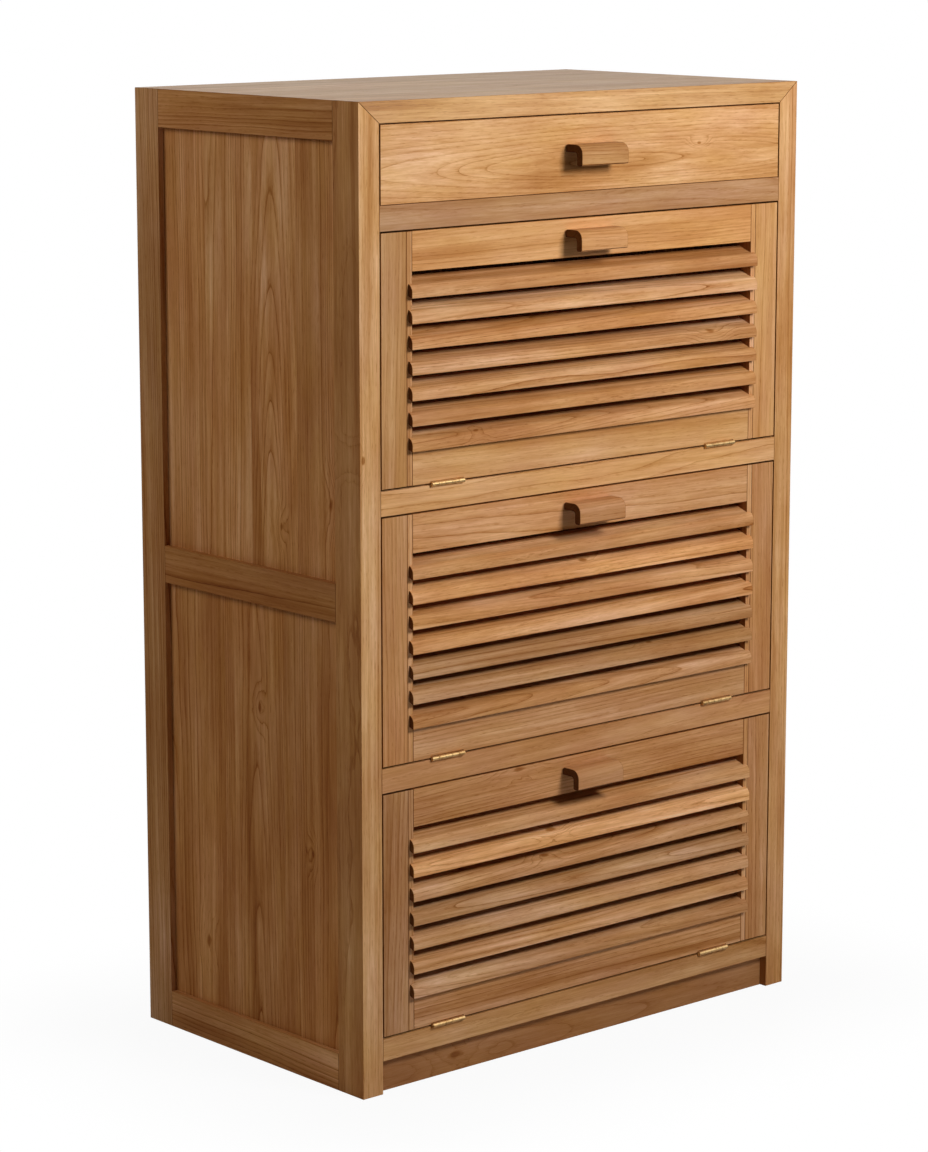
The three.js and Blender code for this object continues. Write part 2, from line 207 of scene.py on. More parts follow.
@dataclass(frozen=True)
class Stave:
    """One board in its own log: a point's place along the log and from its pith.

    Attributes:
        start: Where the board's middle is along the log.
        pith: Where the pith is.
        tone: Lightness, depth and figure.
        knot: Its knot, where it has one.
        log_length: Length of log that the boards are taken from.
        knot_stretch: How much shorter a knot's figure is reckoned along the grain.
        no_knot: Offset that stands for no knot, in radii.
    """

    start: float
    pith: Pith
    tone: Vector
    knot: Knot | None
    log_length: float = 6.0
    knot_stretch: float = 0.45
    no_knot: Place = (99.0, 99.0, 0.0)

    @classmethod
    def drawn(cls, name: str, cut: Cut, index: int) -> "Stave":
        """Draws a stave's place in its log, the same one for the same name.

        Args:
            name: The board's name, which seeds the draw.
            cut: How the board was cut.
            index: Which stave of the board it is.

        Returns:
            The stave in its log.
        """
        dice = random.Random(zlib.crc32(f"{name} {index}".encode()))
        sawing = cut.sawing[index]
        pith = sawing.pith(dice) if isinstance(sawing, Sawing) else sawing
        tone = Vector((
            cut.lightness + dice.uniform(-cut.variation, cut.variation),
            cut.depth + dice.uniform(-2, 2) * cut.variation,
            cut.figure,
        ))
        return cls(dice.uniform(0.0, cls.log_length), pith, tone, cut.knots.get(index))

    def at(self, along: float, across: float, depth: float) -> Vector:
        """Finds a point of the board in the log.

        Args:
            along: Place along the grain from the board's middle.
            across: Place across the board from its middle.
            depth: Place from the board's middle towards its face.

        Returns:
            Place along the log, and the two distances from its pith.
        """
        pith = self.pith
        return Vector((
            self.start + along,
            across - pith.aside + pith.lean_aside * along,
            depth + pith.below + pith.lean_below * along + pith.bow * along * along,
        ))

    def from_knot(self, along: float, across: float) -> Vector:
        """Finds a point of the face from the stave's knot, in radii of the knot.

        Args:
            along: Place along the grain from the board's middle.
            across: Place across the board from its middle.

        Returns:
            The offset, shortened along the grain. Far away where there is no knot.
        """
        if not self.knot:
            return Vector(self.no_knot)
        offset = Vector((self.knot_stretch * (along - self.knot.along), across - self.knot.across, 0.0))
        return offset / self.knot.radius


class Pattern(Enum):
    """Noise in wood or on metal.

    Each has its repeats in a metre along the grain and across it, its finer layers,
    and how strong those are.
    """

    BEND = (1.3, 6.0, 2.0, 0.5)
    WAVE = (7.0, 24.0, 3.0, 0.5)
    KNOT_RIM = (60.0, 120.0, 2.0, 0.5)
    STREAK = (1.1, 40.0, 3.0, 0.55)
    STRAND = (3.5, 190.0, 3.0, 0.6)
    FIBRE = (26.0, 560.0, 3.0, 0.6)
    MOTTLE = (6.0, 18.0, 3.0, 0.5)
    CLOUD = (3.0, 8.0, 2.0, 0.5)
    HEART = (0.9, 30.0, 2.0, 0.5)
    PORE = (90.0, 900.0, 1.0, 0.5)
    PATCH = (9.0, 34.0, 3.0, 0.5)
    TARNISH = (160.0, 160.0, 3.0, 0.6)
    SCRATCH = (300.0, 2600.0, 2.0, 0.6)


class NodeGraph:
    """The nodes of a material or a world, added in the order in which they feed each other."""

    def __init__(self, owner: bpy.types.Material | bpy.types.World) -> None:
        """Starts without nodes.

        Args:
            owner: The material or the world.
        """
        owner.use_nodes = True
        self.owner = owner
        self.tree = owner.node_tree
        self.tree.nodes.clear()

    def add(self, kind: str, inputs: dict[str | int, Any], **settings: Any) -> bpy.types.Node:
        """Adds a node.

        Args:
            kind: Blender's name for the node.
            inputs: Value or output for each input that isn't left as it is.
            **settings: The node's own settings.

        Returns:
            The node.
        """
        node = self.tree.nodes.new(kind)
        for name, value in settings.items():
            setattr(node, name, value)
        for key, value in inputs.items():
            if isinstance(value, Socket):
                self.tree.links.new(value, node.inputs[key])
            else:
                node.inputs[key].default_value = value
        return node

    def result(self, kind: str, inputs: dict[str | int, Any], **settings: Any) -> Socket:
        """Adds a node and gives its first output."""
        return self.add(kind, inputs, **settings).outputs[0]

    def attribute(self, name: str) -> Socket:
        """Reads a vector that the mesh carries."""
        return self.add("ShaderNodeAttribute", {}, attribute_name=name).outputs["Vector"]

    def amount(self, name: str) -> Socket:
        """Reads a number that the mesh carries."""
        return self.add("ShaderNodeAttribute", {}, attribute_name=name).outputs["Fac"]

    def place(self) -> Socket:
        """The point's place on the object."""
        return self.add("ShaderNodeTexCoord", {}).outputs["Object"]

    def split(self, vector: Socket) -> list[Socket]:
        """The three parts of a vector."""
        return list(self.add("ShaderNodeSeparateXYZ", {0: vector}).outputs)

    def stretch(self, vector: Any, factors: Any) -> Socket:
        """Multiplies two vectors or colours part by part."""
        return self.result("ShaderNodeVectorMath", {0: vector, 1: factors}, operation="MULTIPLY")

    def math(self, operation: str, first: Any, second: Any = 0.0) -> Socket:
        """Works out a number from one or two others, by Blender's name for the operation."""
        return self.result("ShaderNodeMath", {0: first, 1: second}, operation=operation)

    def product(self, first: Any, second: Any) -> Socket:
        """Multiplies two numbers."""
        return self.math("MULTIPLY", first, second)

    def total(self, *parts: Any) -> Socket:
        """Adds numbers up, where a pair stands for the product of its two."""
        numbers = [self.product(*part) if isinstance(part, tuple) else part for part in parts]
        return functools.reduce(lambda whole, part: self.math("ADD", whole, part), numbers)

    def noise(self, place: Socket, pattern: Pattern) -> Socket:
        """Makes smooth noise that averages zero.

        Args:
            place: Where it is read, with the grain along its first part.
            pattern: Which noise it is.

        Returns:
            The noise, from about -0.5 to 0.5.
        """
        along, across, detail, roughness = pattern.value
        vector = self.stretch(place, (along, across, across))
        inputs = {"Vector": vector, "Scale": 1.0, "Detail": detail, "Roughness": roughness}
        return self.math("SUBTRACT", self.result("ShaderNodeTexNoise", inputs), 0.5)

    def ripple(self, place: Socket, repeats: float) -> Socket:
        """Makes noise along a line, from 0 to 1, with its repeats in a metre."""
        inputs = {"W": place, "Scale": repeats, "Detail": 1.0}
        return self.result("ShaderNodeTexNoise", inputs, noise_dimensions="1D")

    def span(self, value: Socket, low: float, high: float, first: float = 0.0, last: float = 1.0) -> Socket:
        """Maps a range smoothly onto another one, and holds it outside.

        Args:
            value: The number.
            low: Start of its range.
            high: End of its range.
            first: Result at the start.
            last: Result at the end.

        Returns:
            The mapped number.
        """
        inputs = {"Value": value, "From Min": low, "From Max": high, "To Min": first, "To Max": last}
        return self.result("ShaderNodeMapRange", inputs, interpolation_type="SMOOTHSTEP")

    def ramp(self, value: Socket, stops: Sequence[Point]) -> Socket:
        """Maps 0 to 1 through points.

        Args:
            value: The number.
            stops: Place and result of each point.

        Returns:
            The mapped number.
        """
        node = self.add("ShaderNodeValToRGB", {0: value})
        elements = node.color_ramp.elements
        elements[0].position, elements[1].position = stops[0][0], stops[-1][0]
        for place, _ in stops[1:-1]:
            elements.new(place)
        for element, (_, level) in zip(elements, stops):
            element.color = (level, level, level, 1.0)
        return node.outputs[0]

    def blend(self, factor: Any, first: Any, second: Any) -> Socket:
        """Mixes two colours, by the share of the second one."""
        return self.add("ShaderNodeMix", {0: factor, 6: first, 7: second}, data_type="RGBA").outputs[2]

    def dim(self, colour: Socket, level: Any) -> Socket:
        """Multiplies a colour by a number."""
        return self.result("ShaderNodeVectorMath", {0: colour, 3: level}, operation="SCALE")

    def bump(self, height: Socket, distance: float, strength: float) -> Socket:
        """Turns a height into a normal, by what a height of 1 measures and how much of it shows."""
        return self.result("ShaderNodeBump", {"Height": height, "Distance": distance, "Strength": strength})

    def mix(self, factor: Any, first: Socket, second: Socket) -> Socket:
        """Mixes two shaders, by the share of the second one."""
        return self.result("ShaderNodeMixShader", {0: factor, 1: first, 2: second})

    def close(self, shader: Socket) -> bpy.types.Material | bpy.types.World:
        """Ends the material or the world with its surface, and gives it back."""
        self.add(f"ShaderNodeOutput{type(self.owner).__name__}", {"Surface": shader})
        return self.owner


@dataclass(frozen=True)
class Growth:
    """How a log grew: its rings, and the small knots that push them aside.

    Attributes:
        ring: Usual width of a ring.
        bend: How far the rings wander along the log.
        wave: How far they ripple.
        width_repeats: How often wide and narrow rings take turns in a metre.
        width_change: How many rings that moves them by.
        group_repeats: How often strong and weak groups of rings take turns in a metre.
        group_start: Where the noise of the groups is read from.
        group_range: The part of that noise between weak and strong.
        weakest: Strength of the weakest ring, and of the weakest group.
        line: Strength of the line at a ring's start: place in the ring, and strength.
        open_wood: How open the pores are: place in the ring, and openness.
        knot_repeats: Places for a small knot in a metre, along the grain and across it.
        knot_rarity: Share of those places that stay clear.
        knot_radius: Radius of a small knot, as a share of the distance between places.
        knot_edge: How ragged a knot's outline is, in its radii.
        knot_core: Radii between which its dark core ends.
        knot_reach: Radii at which it no longer pushes the rings.
        knot_push: How far it pushes them.
        clear: Radii that stand for no knot.
    """

    ring: float = 4.4 * MM
    bend: float = 22 * MM
    wave: float = 4.4 * MM
    width_repeats: float = 60.0
    width_change: float = 2.2
    group_repeats: float = 42.0
    group_start: float = 3.7
    group_range: Point = (0.32, 0.6)
    weakest: Point = (0.15, 0.25)
    line: tuple[Point, ...] = ((0.0, 0.3), (0.025, 1.0), (0.07, 0.4), (0.28, 0.13), (0.8, 0.0), (1.0, 0.16))
    open_wood: tuple[Point, ...] = ((0.0, 1.0), (0.4, 0.3), (1.0, 0.15))
    knot_repeats: Place = (5.0, 13.0, 13.0)
    knot_rarity: float = 0.96
    knot_radius: float = 0.035
    knot_edge: float = 2.4
    knot_core: Point = (0.4, 1.6)
    knot_reach: float = 9.0
    knot_push: float = 12 * MM
    clear: float = 99.0

    def from_knots(self, graph: NodeGraph, place: Socket) -> Socket:
        """Measures how far a point is from the nearest knot.

        Args:
            graph: The material's nodes.
            place: The point in the log.

        Returns:
            The distance in radii of the knot, with a ragged outline.
        """
        vector = graph.stretch(place, self.knot_repeats)
        cells = graph.add("ShaderNodeTexVoronoi", {"Vector": vector, "Scale": 1.0})
        picked = graph.math("GREATER_THAN", graph.split(cells.outputs["Color"])[0], self.knot_rarity)
        small = graph.total(
            graph.math("DIVIDE", cells.outputs["Distance"], self.knot_radius),
            (graph.math("SUBTRACT", 1.0, picked), self.clear))
        placed = graph.add("ShaderNodeVectorMath", {0: graph.attribute("knot")}, operation="LENGTH")
        nearest = graph.math("MINIMUM", placed.outputs["Value"], small)
        return graph.total(nearest, (graph.noise(place, Pattern.KNOT_RIM), self.knot_edge))

    def rings(self, graph: NodeGraph, place: Socket) -> tuple[Socket, Socket, Socket]:
        """Finds the ring lines, with knots that push them aside.

        Args:
            graph: The material's nodes.
            place: The point in the log.

        Returns:
            Strength of the ring line, openness of the early wood, and knots.
        """
        _, aside, below = graph.split(place)
        radius = graph.math("SQRT", graph.total((aside, aside), (below, below)))
        radii = self.from_knots(graph, place)
        near = graph.span(radii, 0.0, self.knot_reach, 1.0, 0.0)
        knot = graph.span(radii, *self.knot_core, 1.0, 0.0)
        pushed = graph.total(
            radius, (graph.noise(place, Pattern.BEND), self.bend),
            (graph.noise(place, Pattern.WAVE), self.wave), (near, self.knot_push))
        spread = graph.ripple(pushed, self.width_repeats)
        groups = graph.ripple(graph.math("ADD", pushed, self.group_start), self.group_repeats)
        years = graph.total(graph.math("DIVIDE", pushed, self.ring), (spread, self.width_change))
        whole, phase = graph.math("FLOOR", years), graph.math("FRACT", years)
        year = graph.add("ShaderNodeTexWhiteNoise", {"W": whole}, noise_dimensions="1D")
        weak_ring, weak_group = self.weakest
        strength = graph.product(
            graph.span(year.outputs["Value"], 0.0, 1.0, weak_ring, 1.0),
            graph.span(groups, *self.group_range, weak_group, 1.0))
        line = graph.product(graph.ramp(phase, self.line), strength)
        return line, graph.ramp(phase, self.open_wood), knot


@dataclass(frozen=True)
class TeakFinish:
    """Satin oiled teak. Rings, fibres and pores follow the log that each board carries.

    Everything in the wood that is darker is so by more of the same brown stain, so
    dark wood is also redder and deeper in colour.

    Attributes:
        name: The material's name.
        body: The wood's usual colour.
        growth: How its log grew.
        stain: What one unit of stain lets through.
        lines: Stain in the line at the start of a ring.
        streaks: Stain in broad streaks.
        strands: Stain in narrow ones.
        fibres: Stain in single fibres.
        mottle: Stain in soft blotches.
        hearts: Stain in the darkest streaks.
        heart_range: The part of their noise between none and full stain.
        pores: Stain in the pores.
        pore_range: The part of their noise between none and a pore.
        knots: Stain in the knots.
        edges: Stain in the eased edges: partly the oil that they take up, partly painted shade that deepens
            the gap lines beside them.
        end_grain: Stain in end grain, which takes up more oil.
        end_shade: How much darker end grain is besides, as a share: partly its own darkness, partly painted
            shade on the ends.
        clouds: How far lightness strays in wide clouds, as a share.
        patches: How red, green and blue stray in patches that are yellower or pinker.
        roughness: Roughness of the oiled surface.
        coarseness: How much rougher fibres, ring lines and cut or eased wood are.
        relief: Height of fibres, pores and ring lines, in depths of the relief.
        relief_depth: Depth of the relief.
        relief_strength: How much of it shows.
        specular: Level of its reflection.
    """

    name: str
    body: Colour
    growth: Growth = Growth()
    stain: Colour = (0.37, 0.21, 0.075, 1.0)
    lines: float = 0.75
    streaks: float = 0.6
    strands: float = 0.7
    fibres: float = 0.45
    mottle: float = 0.8
    hearts: float = 0.25
    heart_range: Point = (0.12, 0.22)
    pores: float = 0.25
    pore_range: Point = (0.04, 0.16)
    knots: float = 0.6
    edges: float = 0.5
    end_grain: float = 0.4
    end_shade: float = 0.7
    clouds: float = 0.35
    patches: Place = (0.08, 0.17, -0.22)
    roughness: float = 0.6
    coarseness: Place = (0.22, 0.08, 0.3)
    relief: Place = (0.5, -0.8, -0.25)
    relief_depth: float = 0.25 * MM
    relief_strength: float = 0.6
    specular: float = 0.18

    @functools.cache
    def material(self) -> bpy.types.Material:
        """Builds the material once.

        Returns:
            The material.
        """
        graph = NodeGraph(bpy.data.materials.new(self.name))
        place = graph.attribute("log")
        lightness, depth, figure = graph.split(graph.attribute("tone"))
        end, eased = graph.amount("end_grain"), graph.amount("eased")
        ring, early, knot = self.growth.rings(graph, place)
        fibre = graph.noise(place, Pattern.FIBRE)
        heart = graph.span(graph.noise(place, Pattern.HEART), *self.heart_range)
        pore = graph.product(early, graph.span(graph.noise(place, Pattern.PORE), *self.pore_range))
        varied = graph.total(
            (ring, self.lines), (graph.noise(place, Pattern.STREAK), self.streaks),
            (graph.noise(place, Pattern.STRAND), self.strands), (fibre, self.fibres),
            (graph.noise(place, Pattern.MOTTLE), self.mottle), (heart, self.hearts), (pore, self.pores))
        # The tone's depth carries the painted shade of side faces, slat undersides and hood insides; the
        # eased edges' stain is partly painted shade along the gaps.
        stained = graph.total(
            depth, (varied, figure), (knot, self.knots), (end, self.end_grain), (eased, self.edges))
        tint = graph.result("ShaderNodeGamma", {0: self.stain, 1: stained})
        patch = graph.noise(place, Pattern.PATCH)
        warmth = graph.result("ShaderNodeCombineXYZ", {
            part: graph.total(1.0, (patch, share)) for part, share in enumerate(self.patches)})
        stained_body = graph.stretch(graph.stretch(self.body[:3], warmth), tint)
        level = graph.total(1.0, lightness, (graph.noise(place, Pattern.CLOUD), self.clouds))
        # End grain darker besides: partly its own darkness, partly painted shade on the ends.
        shade = graph.math("SUBTRACT", 1.0, graph.product(end, self.end_shade))
        bare = graph.math("MAXIMUM", end, eased)
        gloss = graph.total(self.roughness, *zip((fibre, ring, bare), self.coarseness))
        height = graph.total(*zip((fibre, pore, ring), self.relief))
        return graph.close(graph.result("ShaderNodeBsdfPrincipled", {
            "Base Color": graph.dim(stained_body, graph.product(level, shade)),
            "Roughness": gloss, "Specular IOR Level": self.specular,
            "Normal": graph.bump(height, self.relief_depth, self.relief_strength),
        }))


@dataclass(frozen=True)
class BrassFinish:
    """Polished brass that has begun to dull in patches.

    Attributes:
        name: The material's name.
        bright: Colour of the polished metal.
        dull: Colour where it has tarnished.
        tarnish: The part of the patches' noise between bright and dull.
        roughness: Roughness of the polish.
        coarseness: How much rougher the patches and the scratches are.
        scratch_depth: Depth of the scratches.
        scratch_strength: How much of it shows.
    """

    name: str
    bright: Colour
    dull: Colour
    tarnish: Point = (-0.1, 0.25)
    roughness: float = 0.34
    coarseness: Point = (0.3, 0.15)
    scratch_depth: float = 0.04 * MM
    scratch_strength: float = 0.4

    @functools.cache
    def material(self) -> bpy.types.Material:
        """Builds the material once.

        Returns:
            The material.
        """
        graph = NodeGraph(bpy.data.materials.new(self.name))
        place = graph.place()
        patches, scratches = graph.noise(place, Pattern.TARNISH), graph.noise(place, Pattern.SCRATCH)
        return graph.close(graph.result("ShaderNodeBsdfPrincipled", {
            "Base Color": graph.blend(graph.span(patches, *self.tarnish), self.bright, self.dull),
            "Metallic": 1.0,
            "Roughness": graph.total(self.roughness, *zip((patches, scratches), self.coarseness)),
            "Normal": graph.bump(scratches, self.scratch_depth, self.scratch_strength),
        }))


FRONT_TEAK = TeakFinish("front_teak", srgb(222, 169, 115), streaks=0.65, strands=0.6, fibres=0.5)
RUDDY_TEAK = replace(FRONT_TEAK, name="ruddy_teak", body=srgb(222, 165, 115))
# The sides' stronger figure is the wood's own; their darker, redder body is painted shade, the warm tint of
# the shaded sides.
SHADED_SIDE_TEAK = TeakFinish("side_teak", srgb(210, 150, 94), lines=1.1, streaks=0.9, fibres=0.35, specular=0.1)
TOP_TEAK = TeakFinish(
    "top_teak", srgb(203, 158, 107), lines=0.35, streaks=0.3, roughness=0.46, specular=0.45)
LOUVRE_TEAK = TeakFinish("louvre_teak", srgb(218, 164, 115), streaks=0.7, end_grain=0.6, end_shade=0.62)
INNER_TEAK = TeakFinish(
    "inner_teak", srgb(198, 154, 106), lines=0.4, roughness=0.66, end_grain=0.2, end_shade=0.4)
BRASS = BrassFinish("brass", srgb(226, 188, 130), srgb(172, 130, 78))


def in_an_end(edge: Edge) -> bool:
    """Tells whether an edge of a piece that runs across the cabinet lies in one of its ends."""
    return abs(edge.verts[0].co.x - edge.verts[1].co.x) < MERGE


class Workpiece:
    """A piece in the making: a mesh that is shaped, eased, given its grain and set in place."""

    def __init__(self, name: str) -> None:
        """Starts an empty piece.

        Args:
            name: The piece's name.
        """
        self.name = name
        self.mesh = bmesh.new()
        self.eased = self.mesh.faces.layers.float.new("eased")

    @classmethod
    def from_solid(cls, node: str, name: str) -> "Workpiece":
        """Copies a solid of the frame, with its loose triangles merged into flat faces.

        Args:
            node: The solid's name.
            name: The piece's name.

        Returns:
            The piece.
        """
        piece = cls(name)
        mesh = piece.mesh
        mesh.from_mesh(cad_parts[node].data)
        bmesh.ops.remove_doubles(mesh, verts=mesh.verts, dist=MERGE)
        bmesh.ops.dissolve_limit(mesh, angle_limit=FLAT_ANGLE, verts=mesh.verts, edges=mesh.edges)
        layers = mesh.faces.layers.float
        piece.eased = layers.get("eased") or layers.new("eased")
        return piece

    @classmethod
    def from_section(
        cls, name: str, corners: Sequence[Point], radii: Sequence[float], ends: Point, round_steps: int = 6
    ) -> "Workpiece":
        """Runs a section with rounded corners along the cabinet's width.

        Args:
            name: The piece's name.
            corners: The section's corners in y and z.
            radii: The rounding of each corner, 0 for a sharp one.
            ends: Lowest and highest x.
            round_steps: Steps of a rounding.

        Returns:
            The piece.
        """
        piece = cls(name)
        mesh = piece.mesh
        verts = [mesh.verts.new((ends[0], y, z)) for y, z in corners]
        mesh.faces.new(verts)
        for vert, radius in zip(verts, radii):
            if radius > 0:
                bmesh.ops.bevel(
                    mesh, geom=[vert], offset=radius, offset_type="OFFSET", segments=round_steps,
                    profile=0.5, affect="VERTICES", material=-1)
        piece.pull(list(mesh.faces), Vector((ends[1] - ends[0], 0, 0)))
        bmesh.ops.recalc_face_normals(mesh, faces=list(mesh.faces))
        return piece

    def pull(self, faces: list[Face], offset: Vector) -> None:
        """Extrudes faces and moves them on.

        Args:
            faces: The faces.
            offset: How far they move.
        """
        pulled = bmesh.ops.extrude_face_region(self.mesh, geom=faces)
        moved = [item for item in pulled["geom"] if isinstance(item, bmesh.types.BMVert)]
        bmesh.ops.translate(self.mesh, verts=moved, vec=offset)

    def split(self, place: Vector, normal: Vector) -> None:
        """Cuts the faces along the plane through a place, and leaves both sides where they are."""
        geometry = [*self.mesh.verts, *self.mesh.edges, *self.mesh.faces]
        bmesh.ops.bisect_plane(self.mesh, geom=geometry, plane_co=place, plane_no=normal)

    def add_plate(self, across: Point, deep: Point, upright: Point) -> None:
        """Adds a flat plate.

        Args:
            across: Lowest and highest x.
            deep: Lowest and highest y.
            upright: Lowest and highest z.
        """
        spans = (across, deep, upright)
        sizes = [high - low for low, high in spans]
        middle = [(low + high) / 2 for low, high in spans]
        matrix = Matrix.Translation(middle) @ Matrix.Diagonal((*sizes, 1.0))
        bmesh.ops.create_cube(self.mesh, size=1.0, matrix=matrix)

    def ease(
        self, radius: float, segments: int = 2, where: Callable[[Edge], bool] = lambda edge: True
    ) -> "Workpiece":
        """Rounds outward corners.

        Args:
            radius: How far the rounding reaches from the corner.
            segments: Steps of the rounding.
            where: Picks the edges.

        Returns:
            The piece itself.
        """
        edges = [
            edge for edge in self.mesh.edges
            if edge.is_convex and edge.calc_face_angle(0.0) > EASED_ANGLE and where(edge)
        ]
        made = bmesh.ops.bevel(
            self.mesh, geom=edges, offset=radius, offset_type="OFFSET", segments=segments,
            profile=0.5, affect="EDGES", clamp_overlap=True, material=-1)
        for face in made["faces"]:
            face[self.eased] = 1.0
        return self

    def extent(self, direction: Vector) -> Point:
        """Measures the piece along a unit vector: its lowest and its highest place."""
        places = [vert.co.dot(direction) for vert in self.mesh.verts]
        return min(places), max(places)

    def lay_grain(self, cut: Cut, face: Vector | None = None) -> "Workpiece":
        """Gives every corner its place in the log, and every face its tone.

        Args:
            cut: How the board was cut.
            face: The direction of the best face, where it isn't an axis.

        Returns:
            The piece itself.
        """
        grain, outward = cut.grain.vector, face or cut.face.vector
        across = grain.cross(outward)
        directions = (grain, across, outward)
        spans = [self.extent(direction) for direction in directions]
        middles = [(low + high) / 2 for low, high in spans]
        low, high = spans[1]
        count = len(cut.sawing)
        width = (high - low) / count
        for joint in range(1, count):
            self.split(across * (low + joint * width), across)
        staves = [Stave.drawn(self.name, cut, index) for index in range(count)]

        layers, faces = self.mesh.loops.layers, self.mesh.faces.layers
        places, knots = layers.float_vector.new("log"), layers.float_vector.new("knot")
        tones, ends = faces.float_vector.new("tone"), faces.float.new("end_grain")
        for polygon in self.mesh.faces:
            centre = polygon.calc_center_median().dot(across)
            index = min(count - 1, max(0, int((centre - low) / width)))
            stave = staves[index]
            # The faces at the board's two sides get the flank tone, which is painted shade where it darkens
            # the gaps.
            flank = cut.flank if abs(polygon.normal.dot(across)) > FACING else (0.0, 0.0)
            polygon[tones] = stave.tone + Vector((*flank, 0.0))
            polygon[ends] = 1.0 if abs(polygon.normal.dot(grain)) > FACING else 0.0
            for loop in polygon.loops:
                along, side, depth = (
                    loop.vert.co.dot(direction) - middle for direction, middle in zip(directions, middles))
                loop[places] = stave.at(along, side - (index + 0.5 - count / 2) * width, depth)
                loop[knots] = stave.from_knot(along, side)
        return self

    def darken(self, tone: Point, where: Callable[[Face], bool]) -> "Workpiece":
        """Paints shade on some faces, once the grain is laid.

        Args:
            tone: Lightness and depth that they have besides.
            where: Picks the faces.

        Returns:
            The piece itself.
        """
        tones = self.mesh.faces.layers.float_vector["tone"]
        for polygon in self.mesh.faces:
            if where(polygon):
                polygon[tones] = polygon[tones] + Vector((*tone, 0.0))
        return self

    def set_on(
        self, body: str, nodes: Sequence[str], slot: str, finish: TeakFinish | BrassFinish
    ) -> bpy.types.Object:
        """Ends the piece: smooth roundings, its finish, and the body that it rides on.

        Args:
            body: The body.
            nodes: The solids that it stands for.
            slot: The record's material slot; not used.
            finish: Its finish.

        Returns:
            The finished object.
        """
        for polygon in self.mesh.faces:
            polygon.smooth = True
        for edge in self.mesh.edges:
            edge.smooth = not edge.is_manifold or edge.calc_face_angle(0.0) < SHARP_ANGLE
        data = bpy.data.meshes.new(self.name)
        self.mesh.to_mesh(data)
        self.mesh.free()
        data.materials.append(finish.material())
        piece = bpy.data.objects.new(self.name, data)
        bpy.context.scene.collection.objects.link(piece)
        weighted = piece.modifiers.new("flat_faces", "WEIGHTED_NORMAL")
        weighted.mode, weighted.weight, weighted.keep_sharp = "FACE_AREA", 100, True
        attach(piece, body)
        if nodes:
            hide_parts(*nodes)
        log.info("%s rides on %s, %d faces", self.name, body, len(data.polygons))
        return piece


def dress_board(
    node: str, body: str, slot: str, finish: TeakFinish, cut: Cut, arris: float = 0.3 * MM
) -> bpy.types.Object:
    """Makes a board from its solid: edges eased, grain laid, in its finish.

    Args:
        node: The solid's name.
        body: The body that it rides on.
        slot: The record's material slot.
        finish: Its finish.
        cut: How it was cut from its log.
        arris: How far its edges are eased.

    Returns:
        The board.
    """
    piece = Workpiece.from_solid(node, f"{node}_board")
    return piece.ease(arris).lay_grain(cut).set_on(body, [node], slot, finish)


def aimed(name: str, data: bpy.types.ID, place: Place, aim: Place) -> bpy.types.Object:
    """Sets up a camera or a lamp.

    Args:
        name: Its name.
        data: The camera or the lamp.
        place: Where it stands.
        aim: The point that it faces.

    Returns:
        Its object.
    """
    item = bpy.data.objects.new(name, data)
    bpy.context.scene.collection.objects.link(item)
    item.location = place
    item.rotation_euler = (Vector(aim) - Vector(place)).to_track_quat("-Z", "Y").to_euler()
    return item


@dataclass(frozen=True)
class Lamp:
    """Square soft lamp.

    Attributes:
        name: Its name.
        place: Where it hangs.
        aim: The point that it faces.
        power: Its power.
        size: Its side.
    """

    name: str
    place: Place
    aim: Place
    power: float
    size: float

    def build(self) -> None:
        """Hangs the lamp."""
        data = bpy.data.lights.new(self.name, "AREA")
        data.shape, data.size, data.energy = "SQUARE", self.size, self.power
        aimed(self.name, data, self.place, self.aim)


